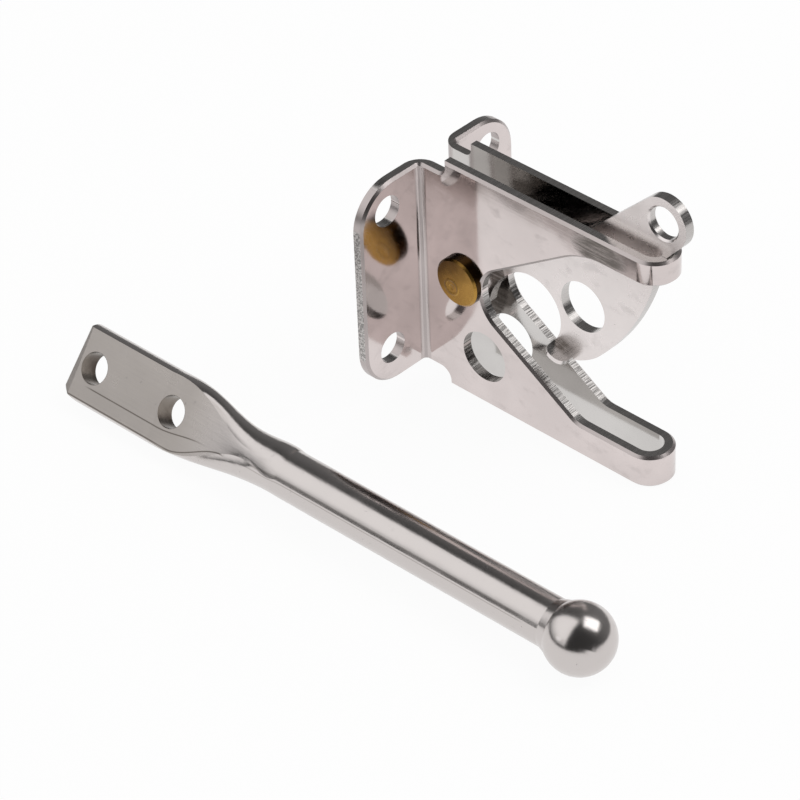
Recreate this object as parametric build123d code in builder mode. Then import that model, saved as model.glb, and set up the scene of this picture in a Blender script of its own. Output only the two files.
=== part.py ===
# Lockable gate latch: folded sheet catch with a falling lever, and its ball-ended strike bar.
# Millimetres. X runs forward out of the post, Y across, Z up.
# The origin is the middle of the four flange holes, on the face that bears on the post.
import os
from math import cos, radians, sin, sqrt
from build123d import *

os.makedirs("parts", exist_ok=True)

# folded sheet
sheet = 2.6
channel = 6.9
plate_in = channel / 2
plate_out = plate_in + sheet
bend_in = 0.8
bend_out = 5.0
rim_break = 0.65
arm_tip_x = 68.7
prong_tip_x = 67.6
arm_top = 31.0
arm_bottom = 24.5
prong_top = -24.3
foot = -33.0

# rear of the plates and the two flanges
rear_top = 27.3
rear_bottom = -29.2
rear_length = 10.1
rear_top_round = 2.0
rear_bottom_round = 2.6
flange_reach = 25.8
flange_corner = 10.8
screw_y = 17.1
screw_z = 19.6
screw_radius = 4.0

# throat between arm and prong
throat_point = (13.1, -1.07)
throat_radius = 9.2
arm_ramp_end = 52.0
arm_ramp_blend = 20.0
prong_ramp_end = 50.5
prong_ramp_blend = 6.0

# holes across the plates
lock_x = 21.7
lock_z = -19.2
lock_radius = 6.65
pivot_x = 15.0
pivot_radius = 3.5
turn_clearance = 0.05

# lever, with its outline as points from the boss round the crook and belly to the pull tab
lever_thick = 2.6
boss_foot = (19.2, -7.15)
boss_rear = (8.36, -4.98)
boss_head = (11.9, 7.7)
crook_start = (21.4, -1.0)
crook_rise = (26.06, 4.3)
crook_top = (34.5, 6.65)
crook_end = (40.8, -6.36)
belly_low = (48.2, -9.75)
belly_end = (53.7, -5.7)
belly_slopes = ((0.95, 0.18), (0.68, 0.73))
front_bulge = (62.75, 6.15)
front_top = (69.2, 20.4)
front_round = 20.0
seat_start = 71.4
seat_end = 73.3
seat_gap = 0.05
tab_front = (76.5, 34.7)
tab_crown = (76.4, 44.94)
tab_back = (67.64, 44.63)
back_knee = (44.0, 22.1)
back_round = 14.0
shackle_x = 48.5
shackle_z = 5.7
shackle_radius = 6.6
pull_x = 72.2
pull_z = 39.8
pull_radius = 4.1
pull_break = 0.45
lip_start = (39.9, -7.8)
lip_slope = 17.2
lip_length = 6.2
lip_reach = 5.7
lip_corner = 2.6
lip_thick = 1.2
lip_heel = 0.6

# rivet and spacers
head_radius = 6.3
head_height = 1.95
head_edge = 0.5
tail_radius = 5.6
tail_height = 1.8
tail_edge = 0.9
spacer_radius = 5.6

# strike bar, measured back from the middle of the ball, its flat pressed out of the rod
ball_radius = 8.5
rod_radius = 6.0
collar_run = 2.4
collar_rise = 0.8
flat_end = 154.4
end_slant = 1.0
flat_thick = 5.4
flat_crown = 0.04
flat_high = 9.0
flat_low = 10.2
face_high = 8.2
face_low = 9.1
back_low = 10.0
crease_start = 1.5
rod_kink = 0.01
neck_start = 86.0
neck_end = 126.0
neck_steps = 5
press_span = (86.0, 110.0)
high_span = (103.0, 116.0)
low_span = (90.0, 126.0)
face_high_span = (98.0, 121.0)
face_low_span = (98.0, 119.0)
corner_along = 6.4
corner_across = 2.8
corner_bow = 0.9
rim_swell = 0.3
end_break = 2.0
end_break_depth = 0.6
bar_hole_a = 147.7
bar_hole_b = 122.2
bar_hole_w = -0.4
bar_hole_radius = 3.95
ball_place = (100.8, -61.7, foot + ball_radius)
bar_yaw = 1.33
bar_pitch = 0.628
bar_roll = 36.3


def ribbon(tip_x):
    """Folded sheet seen from above, with its nose turned about tip_x: flanges, bends, plates and nose."""
    with BuildSketch(Plane.XY) as half:
        with BuildLine():
            Polyline((tip_x, plate_in), (0, plate_in), (0, flange_reach), (sheet, flange_reach),
                     (sheet, plate_out), (tip_x, plate_out))
            CenterArc((tip_x, 0), plate_out, 0, 90)
            Line((tip_x + plate_out, 0), (tip_x + plate_in, 0))
            CenterArc((tip_x, 0), plate_in, 0, 90)
        make_face()
        fillet(half.vertices().sort_by_distance((0, plate_in, 0))[0], radius=bend_out)
        fillet(half.vertices().sort_by_distance((sheet, plate_out, 0))[0], radius=bend_in)
        mirror(about=Plane.XZ)
    return half.sketch


# folded bracket
with BuildPart() as bracket:
    add(ribbon(arm_tip_x))
    extrude(amount=arm_top)
    add(ribbon(prong_tip_x))
    extrude(amount=foot)
    beyond = arm_tip_x + 2 * plate_out
    with BuildSketch(Plane.XZ) as side:
        with BuildLine():
            Polyline((-sheet, rear_bottom), (rear_length, rear_bottom), (rear_length, foot), (beyond, foot),
                     (beyond, prong_top), (prong_ramp_end, prong_top), throat_point,
                     (arm_ramp_end, arm_bottom), (beyond, arm_bottom), (beyond, arm_top),
                     (rear_length, arm_top), (rear_length, rear_top), (-sheet, rear_top), close=True)
        make_face()
        fillet(side.vertices().sort_by_distance((*throat_point, 0))[0], radius=throat_radius)
        fillet(side.vertices().sort_by_distance((arm_ramp_end, arm_bottom, 0))[0], radius=arm_ramp_blend)
        fillet(side.vertices().sort_by_distance((prong_ramp_end, prong_top, 0))[0], radius=prong_ramp_blend)
        fillet(side.vertices().sort_by_distance((rear_length, rear_bottom, 0))[0], radius=rear_bottom_round)
        fillet(side.vertices().sort_by_distance((rear_length, rear_top, 0))[0], radius=rear_top_round)
    extrude(amount=2 * flange_reach, both=True, mode=Mode.INTERSECT)
    straight = bracket.edges().filter_by(Axis.X)
    fillet(straight.filter_by(lambda e: abs(e.center().Y) > flange_reach - 0.1), radius=flange_corner)
    # sheared rims drawn over on the outer side of the sheet
    straight = bracket.edges().filter_by(Axis.X)
    chamfer(straight.filter_by(lambda e: abs(abs(e.center().Y) - plate_out) < 0.01), length=rim_break)
    with Locations([(sheet / 2, y, z) for y in (-screw_y, screw_y) for z in (-screw_z, screw_z)]):
        Cylinder(screw_radius, 3 * sheet, rotation=(0, 90, 0), mode=Mode.SUBTRACT)
    with Locations((lock_x, 0, lock_z)):
        Cylinder(lock_radius, 6 * plate_out, rotation=(90, 0, 0), mode=Mode.SUBTRACT)
    with Locations((pivot_x, 0, 0)):
        Cylinder(pivot_radius, 6 * plate_out, rotation=(90, 0, 0), mode=Mode.SUBTRACT)
bracket.part.label = "bracket"
export_step(bracket.part, "parts/bracket.step")

# falling lever
lip_run = (cos(radians(lip_slope)), -sin(radians(lip_slope)))
lip_under = (lip_start[0] + lip_thick * lip_run[1], lip_start[1] - lip_thick * lip_run[0])
belly_start = (lip_under[0] + lip_length * lip_run[0], lip_under[1] + lip_length * lip_run[1])
seat_z = arm_top + seat_gap
with BuildPart() as lever:
    with BuildSketch(Plane.XZ) as blade:
        with BuildLine():
            ThreePointArc(boss_foot, crook_start, crook_rise)
            ThreePointArc(crook_rise, crook_top, crook_end)
            Polyline(crook_end, lip_start, lip_under, belly_start)
            Spline(belly_start, belly_low, belly_end, tangents=belly_slopes)
            ThreePointArc(belly_end, front_bulge, front_top)
            Polyline(front_top, (seat_start, seat_z), (seat_end, seat_z), tab_front)
            ThreePointArc(tab_front, tab_crown, tab_back)
            Polyline(tab_back, back_knee, boss_head)
            ThreePointArc(boss_head, boss_rear, boss_foot)
        make_face()
        fillet(blade.vertices().sort_by_distance((*back_knee, 0))[0], radius=back_round)
        fillet(blade.vertices().sort_by_distance((*front_top, 0))[0], radius=front_round)
        fillet(blade.vertices().sort_by_distance((*lip_under, 0))[0], radius=lip_heel)
    extrude(amount=lever_thick / 2, both=True)
    # lip turned out towards the near plate
    lip_plane = Plane(Location((lip_start[0], 0, lip_start[1]), (0, lip_slope, 0)))
    with BuildSketch(lip_plane) as tongue:
        with Locations((lip_length / 2, (lever_thick / 2 - lip_reach) / 2)):
            Rectangle(lip_length, lip_reach + lever_thick / 2)
        fillet(tongue.vertices().group_by(Axis.Y)[0], radius=lip_corner)
    extrude(amount=-lip_thick)
    with Locations((shackle_x, 0, shackle_z)):
        Cylinder(shackle_radius, 4 * lever_thick, rotation=(90, 0, 0), mode=Mode.SUBTRACT)
    with Locations((pull_x, 0, pull_z)):
        Cylinder(pull_radius, 4 * lever_thick, rotation=(90, 0, 0), mode=Mode.SUBTRACT)
    rounds = lever.edges().filter_by(GeomType.CIRCLE)
    chamfer(rounds.filter_by(lambda e: abs(e.radius - pull_radius) < 0.001), length=pull_break)
    with Locations((pivot_x, 0, 0)):
        Cylinder(pivot_radius + turn_clearance, 4 * lever_thick, rotation=(90, 0, 0), mode=Mode.SUBTRACT)
lever.part.label = "lever"
export_step(lever.part, "parts/lever.step")

# brass pivot rivet with its flat head towards the viewer and a peened tail behind
with BuildPart() as pivot_rivet:
    with Locations((pivot_x, -plate_out - head_height / 2, 0)):
        Cylinder(head_radius, head_height, rotation=(90, 0, 0))
    with Locations((pivot_x, plate_out + tail_height / 2, 0)):
        Cylinder(tail_radius, tail_height, rotation=(90, 0, 0))
    ends = pivot_rivet.edges().filter_by(GeomType.CIRCLE).sort_by(Axis.Y)
    chamfer(ends[0], length=head_edge)
    chamfer(ends[-1], length=tail_edge)
    with Locations((pivot_x, 0, 0)):
        Cylinder(pivot_radius, 2 * plate_out, rotation=(90, 0, 0))
pivot_rivet.part.label = "pivot_rivet"
export_step(pivot_rivet.part, "parts/pivot_rivet.step")

# spacers that hold the lever in the middle of the channel
spacer_length = plate_in - lever_thick / 2 - turn_clearance
with BuildPart() as spacer_near:
    with Locations((pivot_x, -plate_in + spacer_length / 2, 0)):
        Cylinder(spacer_radius, spacer_length, rotation=(90, 0, 0))
        Cylinder(pivot_radius + turn_clearance, 2 * spacer_length, rotation=(90, 0, 0), mode=Mode.SUBTRACT)
spacer_near.part.label = "spacer_near"
export_step(spacer_near.part, "parts/spacer_near.step")

with BuildPart() as spacer_far:
    with Locations((pivot_x, plate_in - spacer_length / 2, 0)):
        Cylinder(spacer_radius, spacer_length, rotation=(90, 0, 0))
        Cylinder(pivot_radius + turn_clearance, 2 * spacer_length, rotation=(90, 0, 0), mode=Mode.SUBTRACT)
spacer_far.part.label = "spacer_far"
export_step(spacer_far.part, "parts/spacer_far.step")

# strike bar, drawn along X with the ball at the origin, then laid on the same floor as the catch
def eased(along, span):
    """Smooth step from 0 at the start of the span to 1 at its end."""
    t = min(max((along - span[0]) / (span[1] - span[0]), 0.0), 1.0)
    return t * t * (3 - 2 * t)


def pressed_section(along):
    """Section of the bar there: round rod, flat with bulged edges or between them, with four corners."""
    press = eased(along, press_span)
    crown = rod_radius + (flat_thick / 2 - rod_radius) * press
    rod_drop = rod_radius + rod_kink - sqrt(rod_radius ** 2 - crease_start ** 2)
    crease_z = crown - rod_drop - (flat_crown - rod_drop) * press
    high = rod_radius + (flat_high - rod_radius) * eased(along, high_span)
    low = -rod_radius - (flat_low - rod_radius) * eased(along, low_span)
    high_crease = crease_start + (face_high - crease_start) * eased(along, face_high_span)
    low_crease = -crease_start - (face_low - crease_start) * eased(along, face_low_span)
    back_crease = -crease_start - (back_low - crease_start) * eased(along, face_low_span)
    with BuildSketch(Plane.YZ.offset(-along)) as section:
        with BuildLine():
            ThreePointArc((low_crease, crease_z), (0, crown), (high_crease, crease_z))
            ThreePointArc((high_crease, crease_z), (high, 0), (high_crease, -crease_z))
            ThreePointArc((high_crease, -crease_z), (0, -crown), (back_crease, -crease_z))
            ThreePointArc((back_crease, -crease_z), (low, 0), (low_crease, crease_z))
        make_face()
    return section.sketch


neck_stations = [neck_start + (neck_end - neck_start) * i / neck_steps for i in range(neck_steps + 1)]
with BuildPart() as bar_straight:
    loft(sections=[pressed_section(along) for along in neck_stations])
    extrude(pressed_section(neck_start), amount=neck_start)
    extrude(pressed_section(neck_end), amount=neck_end - flat_end - end_slant)
    # end sheared a little aslant, with its lower corner cut away in a bow
    with BuildSketch(Plane.XY):
        with BuildLine():
            corner_mid_w = (corner_across - corner_bow) / 2 - flat_low
            corner_mid = (-flat_end + corner_along / 2 - corner_bow, corner_mid_w)
            corner_out = (-flat_end + corner_along + rim_swell, -flat_low - rim_swell)
            corner = ThreePointArc((-flat_end, corner_across - flat_low), corner_mid, corner_out)
            Polyline(corner @ 1, (-flat_end + corner_along, -2 * flat_low), (-2 * flat_end, -2 * flat_low),
                     (-2 * flat_end, 2 * flat_high), (-flat_end + 2 * end_slant, 2 * flat_high), corner @ 0)
        make_face()
    extrude(amount=flat_thick, both=True, mode=Mode.SUBTRACT)
    # end of the near face drawn over where the bar was sheared
    face_z = flat_thick / 2
    with BuildSketch(Plane.XZ):
        with BuildLine():
            Polyline((-flat_end + 2 * end_break, face_z + end_break_depth),
                     (-flat_end - end_break, face_z + end_break_depth),
                     (-flat_end - end_break, face_z - 2 * end_break_depth), close=True)
        make_face()
    extrude(amount=2 * flat_low, both=True, mode=Mode.SUBTRACT)
    # ball, with a short collar where the rod runs into it
    Sphere(ball_radius)
    collar_end = sqrt(ball_radius ** 2 - (rod_radius + collar_rise) ** 2)
    with Locations((-collar_end - collar_run, 0, 0)):
        Cone(rod_radius - collar_rise, rod_radius + collar_rise, 2 * collar_run, rotation=(0, 90, 0))
    with Locations((-bar_hole_a, bar_hole_w, 0), (-bar_hole_b, bar_hole_w, 0)):
        Cylinder(bar_hole_radius, 4 * flat_thick, mode=Mode.SUBTRACT)

with BuildPart() as strike_bar:
    bar_pose = Pos(*ball_place) * Rot(0, 0, bar_yaw) * Rot(0, bar_pitch, 0) * Rot(90 - bar_roll, 0, 0)
    add(bar_pose * bar_straight.part)
strike_bar.part.label = "strike_bar"
export_step(strike_bar.part, "parts/strike_bar.step")
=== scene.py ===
import math

import bpy
from mathutils import Matrix, Vector


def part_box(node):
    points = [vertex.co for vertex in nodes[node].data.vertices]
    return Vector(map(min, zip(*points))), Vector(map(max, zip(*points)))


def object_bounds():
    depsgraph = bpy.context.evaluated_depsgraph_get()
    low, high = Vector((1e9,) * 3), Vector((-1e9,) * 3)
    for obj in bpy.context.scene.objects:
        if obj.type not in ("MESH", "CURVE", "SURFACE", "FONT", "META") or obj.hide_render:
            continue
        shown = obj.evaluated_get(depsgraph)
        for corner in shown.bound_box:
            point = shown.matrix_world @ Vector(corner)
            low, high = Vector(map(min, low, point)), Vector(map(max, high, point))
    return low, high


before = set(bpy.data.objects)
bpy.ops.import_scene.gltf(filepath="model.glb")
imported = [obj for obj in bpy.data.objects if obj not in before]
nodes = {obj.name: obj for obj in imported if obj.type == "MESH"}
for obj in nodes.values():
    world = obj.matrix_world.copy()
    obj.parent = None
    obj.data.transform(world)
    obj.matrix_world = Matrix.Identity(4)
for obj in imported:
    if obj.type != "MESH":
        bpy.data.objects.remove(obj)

# Lockable gate latch: finishes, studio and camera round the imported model. Metres, in the model's own frame.
# A pair that is named a range is where a smooth step starts and where it ends.

cad_box = [list(corner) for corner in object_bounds()]
floor_z = cad_box[0][2]
scene = bpy.context.scene

# camera, as the photograph was taken
camera_place = (0.53684, -0.54889, 0.54841)
camera_azimuth = math.radians(45.047)
camera_elevation = math.radians(37.756)
camera_roll = math.radians(-2.414)
camera_lens = 180.06
camera_sensor = 36.0
camera_clip = (0.01, 20.0)

# linear colours of the metals
steel_tint = (0.685, 0.615, 0.602)
lever_tint = (0.800, 0.745, 0.732)
inside_tint = (0.62, 0.60, 0.585)
cut_tint = (0.56, 0.535, 0.52)
# the dark colour below is real staining and also painted shade: round the pivot inside the channel and in the
# bend of the lever's lip
tarnish_and_shade_tint = (0.20, 0.18, 0.165)
rod_tint = (0.60, 0.56, 0.545)
flat_tint = (0.443, 0.408, 0.383)
line_tint = (0.16, 0.14, 0.125)
# painted shade: the dark brown walls of the bar's screw holes
bore_shade_tint = (0.22, 0.19, 0.165)
bore_shade_dark = (0.07, 0.055, 0.045)
brass_tint = (0.43, 0.243, 0.057)
brass_dark = (0.085, 0.042, 0.011)

# sheet: grain in noise cells per metre along the axes, then tones, roughness and heights of its marks
rolled_grain = {"cells": (60, 2600, 2600), "detail": 2.0}
cloud_grain = {"cells": (70, 70, 70), "detail": 4.0}
smudge_grain = {"cells": (190, 190, 304), "detail": 5.0, "roughness": 0.6}
shear_grain = {"cells": (2600, 140, 2600), "detail": 1.0}
scratch_grain = {"cells": (160, 2200, 2200), "detail": 3.0, "roughness": 0.65}
wave_grain = {"cells": (95, 95, 95), "detail": 1.0}
sheet_polish = (0.07, 0.12)
lever_polish = (0.22, 0.30)
polish_range = (0.3, 0.75)
cloud_range = (0.35, 0.7)
cloud_tone = (0.93, 1.03)
smudge_range = (0.52, 0.72)
smudge_share = 0.8
smudge_tone = 0.88
smudge_rough = 0.04
scratch_range = (0.36, 0.60)
scratch_share = (0.60, 1.0)
stain_and_shade_rough = 0.12
# rim_tone darkens rims and bends, and along the inner bends it is painted shade
rim_tone = 0.70
rim_rough = 0.32
shear_range = (0.62, 0.38)
shear_tone = 0.45
shear_rough_range = (0.3, 0.7)
shear_rough = (0.18, 0.30)
rolled_height = 0.10
ragged_height = 2.6
plain_height = 0.15
wave_lift = {"strength": 0.10, "depth": 0.0006}
mark_lift = {"strength": 0.35, "depth": 0.00006}
true_lift = {"strength": 1.0, "depth": 1.0}

# bracket: where its cut edges, rims, bends and stains lie, and where shade is painted along its inner bends
# and round the pivot inside its channel
flange_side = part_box("bracket")[1][1]
side_skin = (0.0001, 0.00002)
sloped_range = (0.04, 0.10)
folded_range = (0.009, 0.008)
nose_range = (0.062, 0.063)
rim_range = (0.30, 0.50)
ragged_range = (0.94, 0.84)
ragged_least = 0.10
bend_range = (0.08, 0.30)
# painted shade along the inner bend between flange and plate, out to bend_round from its line
bend_line = (0.0026, 0.00605)
bend_round = 0.0019
bend_fade = 0.8
bend_shade = 0.6
stain_middle = (0.0575, 0.0275)
stain_size = (0.0092, 0.0045)
stain_fade = (1.0, 0.3)
near_face_range = (-0.90, -0.98)
inside_range = (-0.0005, -0.0012)
# painted shade: an oval round the pivot on the inner faces of the channel, darkened where little light gets
# in
channel_shade_middle = (0.009, -0.005)
channel_shade_size = (0.0118, 0.014)
channel_shade_fade = (1.08, 0.92)

# lever: its faces, and the painted shade round its hub between the plates and in the concave bend of its lip
lever_side = 0.0013
lever_face_range = (0.55, 0.75)
lever_edge_range = (0.75, 0.55)
lever_ragged = 0.15
hub_reach = 0.0098
hub_fade = (1.05, 0.95)
lip_skin = (0.00001, 0.00004)
lip_top_range = (0.3, 0.1)
lip_shade_out = (-0.0038, -0.0024)
lip_shade_ahead = (0.0462, 0.0430)

# strike bar: how it lies, measured from the middle of its ball
ball_place = (0.1008, -0.0617, -0.0245)
bar_yaw = math.radians(1.33)
bar_pitch = math.radians(0.628)
bar_turn = math.radians(53.7)
bar_lie = Matrix.Rotation(bar_yaw, 3, "Z") @ Matrix.Rotation(bar_pitch, 3, "Y")
flat_lie = bar_lie @ Matrix.Rotation(bar_turn, 3, "X")
flat_up = flat_lie @ Vector((0, 0, 1))
neck_span = (0.100, 0.120)
hole_places = ((0.1477, -0.0004), (0.1222, -0.0004))
hole_radius = 0.00395
bore_skin = (0.00010, 0.00003)

# strike bar: the seam and the fold on its flat, and two laps along its rod at angles round it
flat_top_range = (0.001, 0.002)
seam_bow = (0.1245, 0.1105)
seam_across = (-0.00525, -0.0035)
seam_width = (0.00022, 0.00010)
seam_start = (0.1085, 0.1160)
seam_end = (0.1490, 0.1455)
fold_span = (0.104, 0.120)
fold_across = (-0.0033, -0.0088)
fold_width = (0.00024, 0.00008)
fold_start = (0.103, 0.105)
lap_span = (0.082, 0.104)
lap_angles = (math.radians(28), math.radians(14))
lap_width = (0.10, 0.01)
lap_depth = 0.50
thin_lap_turn = math.radians(-11)
thin_lap_width = (0.035, 0.010)
thin_lap_depth = 0.35
lap_start = (0.011, 0.014)
lap_end = (0.097, 0.094)

# strike bar: grain, tones, roughness and heights
forged_grain = {"cells": (120, 120, 120), "detail": 4.0}
drawn_grain = {"cells": (14, 1500, 1500), "detail": 3.0, "roughness": 0.6}
grit_grain = {"cells": (1500, 1500, 1500), "detail": 2.0}
pit_grain = {"cells": (900, 900, 900), "detail": 3.0}
pit_range = (0.66, 0.80)
pit_share = 0.35
pit_tone = 0.45
pit_rough = 0.12
line_range = (0.25, 0.5)
line_share = (0.35, 0.9)
level_range = (0.85, 0.97)
bore_shade_range = (0.35, 0.65)
rod_rough = (0.17, 0.25)
flat_rough = (0.27, 0.36)
forged_lift = {"strength": 0.12, "depth": 0.0005}
drawn_lift = {"strength": 0.22, "depth": 0.00008}
grit_lift = {"strength": 0.20, "depth": 0.00003}

# rivet: its axis, the punch mark off its middle and the patina across its head
rivet_axis = (0.015, 0.0, 0.0)
punch_place = (0.0136, 0.0, -0.0017)
punch_radius = 0.0019
punch_width = (0.0005, 0.0001)
punch_pit = (0.0009, 0.0004)
punch_share = 0.22
patina_grain = {"cells": (330, 330, 330), "detail": 4.0, "roughness": 0.55}
patina_shift = 0.004
gold_way = (0.6, 0.0, -0.8)
gold_range = (-0.0085, 0.0005)
head_range = (0.2, 0.6)
wall_tone = 0.5
brass_range = (0.3, 0.7)
brass_rough = (0.22, 0.36)
punch_lift = {"strength": 0.5, "depth": 0.00025}
patina_lift = {"strength": 0.25, "depth": 0.0002}

# washers
washer_grain = {"cells": (500, 500, 500), "detail": 3.0}
washer_range = (0.3, 0.7)
washer_rough = (0.24, 0.36)

# floor
floor_half = 0.55
floor_grey = 0.86
floor_white = 0.94

# studio: the levels that polished metal mirrors, with the panel's edges as directions, and the key lamp
room_level = 0.035
wall_level = 0.17
panel_level = 0.85
panel_edge_x = (0.06, -0.10)
panel_edge_y = (0.10, -0.04)
panel_edge_z = (0.06, 0.14)
panel_rise = (0.06, 0.50)
panel_rise_level = (0.55, 1.30)
soft_level = 0.75
lamp_aim = Vector((0.05, -0.03, 0.0))
key_way = (0.424, 0.371, 0.825)
key_distance = 1.1
key_size = (0.66, 0.84)
key_power = 3.6


def put(tree, kind, **values):
    """A new node of that kind, with the named settings and input values."""
    made = tree.nodes.new(kind)
    for name, value in values.items():
        if name in made.inputs:
            made.inputs[name].default_value = value
        else:
            setattr(made, name, value)
    return made


def feed(tree, socket, value):
    """Links a socket into an input, or sets the input to a number."""
    if isinstance(value, bpy.types.NodeSocket):
        tree.links.new(value, socket)
    else:
        socket.default_value = value


def calc(tree, operation, first, second=0.0):
    """One step of arithmetic on sockets or numbers."""
    step = put(tree, "ShaderNodeMath", operation=operation)
    feed(tree, step.inputs[0], first)
    feed(tree, step.inputs[1], second)
    return step.outputs[0]


def chain(tree, operation, first, others):
    """The same arithmetic over any number of sockets or numbers."""
    result = first
    for other in others:
        result = calc(tree, operation, result, other)
    return result


def times(tree, first, *others):
    """Product of sockets or numbers."""
    return chain(tree, "MULTIPLY", first, others)


def total(tree, first, *others):
    """Sum of sockets or numbers."""
    return chain(tree, "ADD", first, others)


def most(tree, first, *others):
    """Largest of sockets or numbers."""
    return chain(tree, "MAXIMUM", first, others)


def less(tree, first, second):
    """First without second."""
    return calc(tree, "SUBTRACT", first, second)


def unsigned(tree, value):
    """A value without its sign."""
    return calc(tree, "ABSOLUTE", value)


def distance(tree, first, second):
    """Distance from two offsets at right angles."""
    return calc(tree, "SQRT", total(tree, times(tree, first, first), times(tree, second, second)))


def ease(tree, value, low, high, to_low=0.0, to_high=1.0):
    """Smooth step of a value from low to high."""
    step = put(tree, "ShaderNodeMapRange", interpolation_type="SMOOTHSTEP")
    feed(tree, step.inputs["Value"], value)
    step.inputs["From Min"].default_value = low
    step.inputs["From Max"].default_value = high
    step.inputs["To Min"].default_value = to_low
    step.inputs["To Max"].default_value = to_high
    return step.outputs["Result"]


def blend(tree, factor, first, second):
    """Colour mixed from first to second by a factor."""
    mix = put(tree, "ShaderNodeMix", data_type="RGBA")
    feed(tree, mix.inputs["Factor"], factor)
    for socket, value in ((mix.inputs[6], first), (mix.inputs[7], second)):
        if isinstance(value, bpy.types.NodeSocket):
            tree.links.new(value, socket)
        else:
            socket.default_value = (*value, 1.0)
    return mix.outputs[2]


def between(tree, factor, first, second):
    """Number mixed from first to second by a factor."""
    mix = put(tree, "ShaderNodeMix", data_type="FLOAT")
    feed(tree, mix.inputs["Factor"], factor)
    feed(tree, mix.inputs[2], first)
    feed(tree, mix.inputs[3], second)
    return mix.outputs[0]


def dimmed(tint, share):
    """A colour at a share of its brightness."""
    return tuple(share * part for part in tint)


def split(tree, vector):
    """X, Y and Z of a vector."""
    parts = put(tree, "ShaderNodeSeparateXYZ")
    tree.links.new(vector, parts.inputs[0])
    return parts.outputs


def dot(tree, vector, axis):
    """Length of a vector along an axis."""
    product = put(tree, "ShaderNodeVectorMath", operation="DOT_PRODUCT")
    tree.links.new(vector, product.inputs[0])
    product.inputs[1].default_value = axis
    return product.outputs["Value"]


def moved(tree, vector, origin):
    """A place measured from another origin."""
    step = put(tree, "ShaderNodeVectorMath", operation="SUBTRACT")
    tree.links.new(vector, step.inputs[0])
    step.inputs[1].default_value = origin
    return step.outputs[0]


def grain(tree, where, cells, detail, roughness=0.5):
    """Noise in object space, with that many cells per metre along the axes."""
    spread = put(tree, "ShaderNodeMapping", Scale=cells)
    tree.links.new(where, spread.inputs["Vector"])
    noise = put(tree, "ShaderNodeTexNoise", Scale=1.0, Detail=detail, Roughness=roughness)
    tree.links.new(spread.outputs["Vector"], noise.inputs["Vector"])
    return noise.outputs["Fac"]


def lift(tree, height, strength, depth, under=None):
    """Bump from a height, over an earlier bump if there is one."""
    bump = put(tree, "ShaderNodeBump", Strength=strength, Distance=depth)
    feed(tree, bump.inputs["Height"], height)
    if under is not None:
        tree.links.new(under, bump.inputs["Normal"])
    return bump.outputs["Normal"]


def oval(tree, place, middle, size):
    """Squared distance from the middle of an oval in the side view, 1 on its line."""
    along = calc(tree, "DIVIDE", less(tree, place["X"], middle[0]), size[0])
    across = calc(tree, "DIVIDE", less(tree, place["Z"], middle[1]), size[1])
    return total(tree, times(tree, along, along), times(tree, across, across))


def new_material(name):
    """A metal with its node tree, its shader and the place of a point on the model."""
    material = bpy.data.materials.new(name)
    material.use_nodes = True
    tree = material.node_tree
    tree.nodes.clear()
    shader = put(tree, "ShaderNodeBsdfPrincipled", Metallic=1.0)
    output = put(tree, "ShaderNodeOutputMaterial")
    tree.links.new(shader.outputs["BSDF"], output.inputs["Surface"])
    where = put(tree, "ShaderNodeTexCoord").outputs["Object"]
    return material, tree, shader, where


def sheet_steel(name, tint, marks_by, polish):
    """Rolled and polished sheet, with sheared edges, darker and rougher rims and bends, stains, and painted
    shade where the masks say.
    """
    material, tree, shader, where = new_material(name)
    facing = split(tree, put(tree, "ShaderNodeNewGeometry").outputs["True Normal"])
    marks = marks_by(tree, facing, split(tree, where))
    cloud = grain(tree, where, **cloud_grain)
    smudge = ease(tree, grain(tree, where, **smudge_grain), *smudge_range)
    streak = grain(tree, where, **shear_grain)
    scratch = grain(tree, where, **scratch_grain)
    # dark mask: a stained patch on the near plate, plus painted shade round the pivot and in the lever lip's
    # bend
    stain_and_shade = times(tree, marks["tarnish_and_shade"], ease(tree, scratch, *scratch_range, *scratch_share))

    face = blend(tree, times(tree, smudge, smudge_share), tint, dimmed(tint, smudge_tone))
    face = blend(tree, marks["inside"], face, inside_tint)
    # rims and bends in a darker tone; along the inner bends this is painted shade
    face = blend(tree, marks["rims_bends_and_bend_shade"], face, dimmed(tint, rim_tone))
    dark_line = times(tree, marks["ragged"], ease(tree, streak, *shear_range))
    edge = blend(tree, dark_line, cut_tint, dimmed(cut_tint, shear_tone))
    colour = blend(tree, stain_and_shade, blend(tree, marks["cut"], face, edge), tarnish_and_shade_tint)
    clouded = put(tree, "ShaderNodeVectorMath", operation="SCALE")
    tree.links.new(colour, clouded.inputs[0])
    tree.links.new(ease(tree, cloud, *cloud_range, *cloud_tone), clouded.inputs["Scale"])
    tree.links.new(clouded.outputs[0], shader.inputs["Base Color"])

    face_rough = total(tree, ease(tree, cloud, *polish_range, *polish),
                       times(tree, smudge, smudge_rough), times(tree, stain_and_shade, stain_and_shade_rough))
    edge_rough = ease(tree, streak, *shear_rough_range, *shear_rough)
    rough = between(tree, marks["cut"], between(tree, marks["rims_bends_and_bend_shade"], face_rough, rim_rough), edge_rough)
    tree.links.new(rough, shader.inputs["Roughness"])

    rolled = times(tree, grain(tree, where, **rolled_grain), rolled_height)
    sheared = times(tree, streak, total(tree, times(tree, marks["ragged"], ragged_height), plain_height))
    height = between(tree, marks["cut"], between(tree, stain_and_shade, rolled, scratch), sheared)
    waves = lift(tree, grain(tree, where, **wave_grain), **wave_lift)
    marked = lift(tree, height, **mark_lift, under=waves)
    tree.links.new(lift(tree, marks["hollow"], **true_lift, under=marked), shader.inputs["Normal"])
    return material


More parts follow.
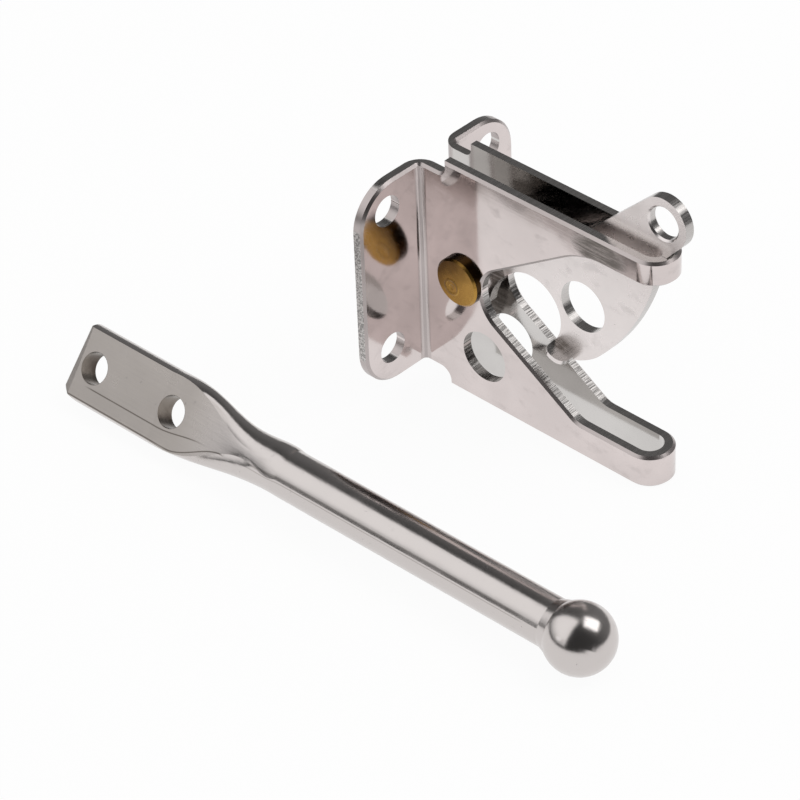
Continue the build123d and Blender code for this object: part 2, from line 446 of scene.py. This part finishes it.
def bracket_marks(tree, facing, place):
    """Masks of the folded sheet: what looks up or down is cut, and so are the flange sides, but no rim is."""
    upright = unsigned(tree, facing["Z"])
    ahead = unsigned(tree, facing["X"])
    aside = unsigned(tree, facing["Y"])
    breadth = unsigned(tree, place["Y"])

    sloped = ease(tree, upright, *sloped_range)
    folded = ease(tree, place["X"], *folded_range)
    nose = ease(tree, place["X"], *nose_range)
    round_ends = times(tree, ease(tree, ahead, *rim_range), most(tree, folded, nose))
    rim = times(tree, sloped, most(tree, ease(tree, aside, *rim_range), round_ends))
    side = ease(tree, breadth, flange_side - side_skin[0], flange_side - side_skin[1])

    bend = times(tree, folded, ease(tree, times(tree, ahead, aside), *bend_range))
    off_bend = distance(tree, less(tree, place["X"], bend_line[0]), less(tree, breadth, bend_line[1]))
    # painted shade along the inner bend, in the darker rim tone
    near_bend = ease(tree, off_bend, bend_round, bend_fade * bend_round, 0.0, bend_shade)
    depth = most(tree, less(tree, bend_round, off_bend), 0.0)
    hollow = calc(tree, "DIVIDE", times(tree, depth, depth), 2 * bend_round)

    # a stained patch on the near plate by the nose; painted shade joins it in the returned mask
    stain_and_shade = ease(tree, oval(tree, place, stain_middle, stain_size), *stain_fade)
    stain_and_shade = times(tree, stain_and_shade, ease(tree, facing["Y"], *near_face_range))
    inside = ease(tree, times(tree, facing["Y"], place["Y"]), *inside_range)
    # painted shade round the pivot on the inner faces of the channel
    channel_shade = times(tree, ease(tree, oval(tree, place, channel_shade_middle, channel_shade_size), *channel_shade_fade), inside)
    return {"cut": most(tree, less(tree, sloped, rim), side),
            "rims_bends_and_bend_shade": most(tree, rim, bend, near_bend),
            "ragged": most(tree, ease(tree, upright, *ragged_range), ragged_least),
            "tarnish_and_shade": most(tree, stain_and_shade, channel_shade),
            "inside": inside,
            "hollow": times(tree, hollow, less(tree, 1.0, sloped))}


def lever_marks(tree, facing, place):
    """Masks of the lever, which turns about Y: its faces look along Y, and its lip stands out from them.
    Shade is painted round its hub between the plates and in the bend of its lip.
    """
    aside = unsigned(tree, facing["Y"])
    lip = ease(tree, place["Y"], -lever_side - lip_skin[0], -lever_side - lip_skin[1])
    # painted shade in the concave bend where the lip leaves the lever's face
    lip_bend = times(tree, ease(tree, place["Y"], *lip_shade_out), ease(tree, place["X"], *lip_shade_ahead))
    lip_shade = times(tree, lip, ease(tree, aside, *lip_top_range), lip_bend)
    # painted shade on the lever's hub between the plates
    hub = ease(tree, oval(tree, place, (rivet_axis[0], rivet_axis[2]), (hub_reach, hub_reach)), *hub_fade)
    channel_shade = times(tree, hub, ease(tree, aside, *lever_face_range))
    return {"cut": ease(tree, aside, *lever_edge_range),
            "rims_bends_and_bend_shade": 0.0,
            "ragged": lever_ragged,
            "tarnish_and_shade": most(tree, lip_shade, channel_shade),
            "inside": 0.0,
            "hollow": 0.0}


def bar_lines(tree, place, along, across):
    """Mask of the lines that forging left: a seam and a fold on the flat, two laps along the rod."""
    seam_way = ease(tree, along, *seam_bow, *seam_across)
    seam = ease(tree, unsigned(tree, less(tree, across, seam_way)), *seam_width)
    seam = times(tree, seam, ease(tree, along, *seam_start), ease(tree, along, *seam_end))
    fold_way = ease(tree, along, *fold_span, *fold_across)
    fold = ease(tree, unsigned(tree, less(tree, across, fold_way)), *fold_width)
    fold = times(tree, fold, ease(tree, along, *fold_start))
    on_top = ease(tree, dot(tree, place, flat_up), *flat_top_range)

    height = dot(tree, place, bar_lie @ Vector((0, 0, 1)))
    nearness = dot(tree, place, bar_lie @ Vector((0, -1, 0)))
    lap_way = ease(tree, along, *lap_span, *lap_angles)
    off_lap = less(tree, calc(tree, "ARCTAN2", height, nearness), lap_way)
    lap = ease(tree, unsigned(tree, off_lap), *lap_width, 0.0, lap_depth)
    off_thin = unsigned(tree, less(tree, off_lap, thin_lap_turn))
    thin_lap = ease(tree, off_thin, *thin_lap_width, 0.0, thin_lap_depth)
    laps = times(tree, most(tree, lap, thin_lap), ease(tree, along, *lap_start), ease(tree, along, *lap_end))
    return most(tree, times(tree, most(tree, seam, fold), on_top), laps)


def bar_bores(tree, along, across):
    """Mask of the walls of the two screw holes, where dark shade is painted."""
    bores = 0.0
    for hole_along, hole_across in hole_places:
        out = distance(tree, less(tree, along, hole_along), less(tree, across, hole_across))
        bores = most(tree, bores, ease(tree, out, hole_radius + bore_skin[0], hole_radius + bore_skin[1]))
    return bores


def bar_steel(name):
    """Forged and polished round bar, satin on its pressed flat, with lines drawn along it and painted shade
    in its screw holes.
    """
    material, tree, shader, where = new_material(name)
    place = moved(tree, where, ball_place)
    along = dot(tree, place, bar_lie @ Vector((-1, 0, 0)))
    across = dot(tree, place, flat_lie @ Vector((0, 1, 0)))
    cloud = grain(tree, where, **forged_grain)
    pits = ease(tree, grain(tree, where, **pit_grain), *pit_range)
    lines = times(tree, bar_lines(tree, place, along, across), ease(tree, cloud, *line_range, *line_share))
    normal = put(tree, "ShaderNodeNewGeometry").outputs["Normal"]
    level = ease(tree, unsigned(tree, dot(tree, normal, flat_up)), *level_range)
    satin = times(tree, ease(tree, along, *neck_span), level)

    tone = blend(tree, satin, rod_tint, flat_tint)
    tone = blend(tree, times(tree, pits, pit_share), tone, dimmed(rod_tint, pit_tone))
    # painted shade in the walls of the screw holes
    bore_shade_tone = blend(tree, ease(tree, cloud, *bore_shade_range), bore_shade_dark, bore_shade_tint)
    tone = blend(tree, bar_bores(tree, along, across), tone, bore_shade_tone)
    tree.links.new(blend(tree, lines, tone, line_tint), shader.inputs["Base Color"])

    rough = between(tree, satin, ease(tree, cloud, *polish_range, *rod_rough),
                    ease(tree, cloud, *polish_range, *flat_rough))
    tree.links.new(total(tree, rough, times(tree, pits, pit_rough)), shader.inputs["Roughness"])

    waves = lift(tree, cloud, **forged_lift)
    drawn = lift(tree, grain(tree, where, **drawn_grain), **drawn_lift, under=waves)
    gritty = lift(tree, grain(tree, where, **grit_grain), **grit_lift, under=drawn)
    tree.links.new(gritty, shader.inputs["Normal"])
    return material


def rivet_brass(name):
    """Brass head with a punch mark off its middle, brown at one side and rubbed to gold at the other."""
    material, tree, shader, where = new_material(name)
    patina = grain(tree, where, **patina_grain)
    towards_gold = dot(tree, moved(tree, where, rivet_axis), gold_way)
    gold = ease(tree, less(tree, towards_gold, times(tree, patina, patina_shift)), *gold_range)
    off_punch = split(tree, moved(tree, where, punch_place))
    out = distance(tree, off_punch["X"], off_punch["Z"])
    ring = ease(tree, unsigned(tree, less(tree, out, punch_radius)), *punch_width)
    pit = ease(tree, out, *punch_pit)
    facing = split(tree, put(tree, "ShaderNodeNewGeometry").outputs["True Normal"])
    head = ease(tree, unsigned(tree, facing["Y"]), *head_range)

    face = blend(tree, less(tree, gold, times(tree, ring, punch_share)), brass_dark, brass_tint)
    tree.links.new(blend(tree, head, dimmed(brass_dark, wall_tone), face), shader.inputs["Base Color"])
    tree.links.new(ease(tree, patina, *brass_range, *brass_rough), shader.inputs["Roughness"])
    punched = lift(tree, less(tree, ring, pit), **punch_lift)
    tree.links.new(lift(tree, patina, **patina_lift, under=punched), shader.inputs["Normal"])
    return material


def washer_steel(name):
    """Small turned washer, seen only between the plates."""
    material, tree, shader, where = new_material(name)
    cloud = grain(tree, where, **washer_grain)
    tree.links.new(blend(tree, cloud, cut_tint, steel_tint), shader.inputs["Base Color"])
    tree.links.new(ease(tree, cloud, *washer_range, *washer_rough), shader.inputs["Roughness"])
    return material


def dress(name, material):
    """Gives a model node its finish."""
    slots = nodes[name].data.materials
    slots.clear()
    slots.append(material)


def paper_white(name):
    """White to the lens and in reflections, with the part's own shadow left in it."""
    material = bpy.data.materials.new(name)
    material.use_nodes = True
    tree = material.node_tree
    tree.nodes.clear()
    matt = put(tree, "ShaderNodeBsdfDiffuse", Color=(floor_grey, floor_grey, floor_grey, 1.0))
    glow = put(tree, "ShaderNodeEmission", Color=(1.0, 1.0, 1.0, 1.0), Strength=1.0)
    path = put(tree, "ShaderNodeLightPath").outputs
    seen = most(tree, path["Is Camera Ray"], path["Is Glossy Ray"], path["Is Transmission Ray"])
    share = put(tree, "ShaderNodeMixShader")
    tree.links.new(times(tree, seen, floor_white), share.inputs["Fac"])
    tree.links.new(matt.outputs[0], share.inputs[1])
    tree.links.new(glow.outputs[0], share.inputs[2])
    tree.links.new(share.outputs[0], put(tree, "ShaderNodeOutputMaterial").inputs["Surface"])
    return material


def lay_floor():
    """Square floor under the part."""
    mesh = bpy.data.meshes.new("floor")
    corners = ((-1, -1), (1, -1), (1, 1), (-1, 1))
    mesh.from_pydata([(floor_half * x, floor_half * y, floor_z) for x, y in corners], [], [(0, 1, 2, 3)])
    floor = bpy.data.objects.new("floor", mesh)
    scene.collection.objects.link(floor)
    mesh.materials.append(paper_white("paper"))
    return floor


def build_studio():
    """A dark room with a large pale panel at the left front and a grey wall behind, white to the lens."""
    world = bpy.data.worlds.new("studio")
    scene.world = world
    world.use_nodes = True
    tree = world.node_tree
    tree.nodes.clear()
    away = split(tree, put(tree, "ShaderNodeTexCoord").outputs["Generated"])
    panel = times(tree, ease(tree, away["Y"], *panel_edge_y), ease(tree, away["X"], *panel_edge_x),
                  ease(tree, away["Z"], *panel_edge_z), ease(tree, away["Z"], *panel_rise, *panel_rise_level))
    wall = times(tree, most(tree, away["Y"], 0.0), wall_level)
    room = total(tree, room_level, wall, times(tree, panel, panel_level))
    path = put(tree, "ShaderNodeLightPath").outputs
    mirrored = between(tree, path["Is Glossy Ray"], soft_level, room)
    white = most(tree, path["Is Camera Ray"], path["Is Transmission Ray"])
    sky = put(tree, "ShaderNodeBackground", Color=(1.0, 1.0, 1.0, 1.0))
    tree.links.new(between(tree, white, mirrored, 1.0), sky.inputs["Strength"])
    tree.links.new(sky.outputs[0], put(tree, "ShaderNodeOutputWorld").inputs["Surface"])


def hang_softbox(name, way, reach, size, power):
    """Area lamp that looks at the middle of the part from that direction."""
    lamp = bpy.data.lights.new(name, "AREA")
    lamp.shape = "RECTANGLE"
    lamp.size, lamp.size_y = size
    lamp.energy = power
    holder = bpy.data.objects.new(name, lamp)
    towards = Vector(way).normalized()
    holder.location = lamp_aim + towards * reach
    holder.rotation_euler = towards.to_track_quat("Z", "Y").to_euler()
    scene.collection.objects.link(holder)


def set_camera():
    """The photograph's camera, from its place, its two angles and its roll."""
    flat_reach = math.cos(camera_elevation)
    back = Vector((math.sin(camera_azimuth) * flat_reach, -math.cos(camera_azimuth) * flat_reach,
                   math.sin(camera_elevation)))
    level_right = Vector((math.cos(camera_azimuth), math.sin(camera_azimuth), 0.0))
    level_up = back.cross(level_right)
    right = math.cos(camera_roll) * level_right + math.sin(camera_roll) * level_up
    up = back.cross(right)
    lens = bpy.data.cameras.new("camera")
    lens.lens = camera_lens
    lens.sensor_width = camera_sensor
    lens.clip_start, lens.clip_end = camera_clip
    camera = bpy.data.objects.new("camera", lens)
    camera.matrix_world = Matrix((
        (right.x, up.x, back.x, camera_place[0]),
        (right.y, up.y, back.y, camera_place[1]),
        (right.z, up.z, back.z, camera_place[2]),
        (0.0, 0.0, 0.0, 1.0)))
    scene.collection.objects.link(camera)
    scene.camera = camera
    scene.view_settings.view_transform = "Standard"


dress("bracket", sheet_steel("polished_sheet", steel_tint, bracket_marks, sheet_polish))
dress("lever", sheet_steel("polished_lever", lever_tint, lever_marks, lever_polish))
dress("strike_bar", bar_steel("forged_bar"))
dress("pivot_rivet", rivet_brass("turned_brass"))
washer = washer_steel("washer_steel")
dress("spacer_near", washer)
dress("spacer_far", washer)

floor = lay_floor()
build_studio()
hang_softbox("key", key_way, key_distance, key_size, key_power)
set_camera()
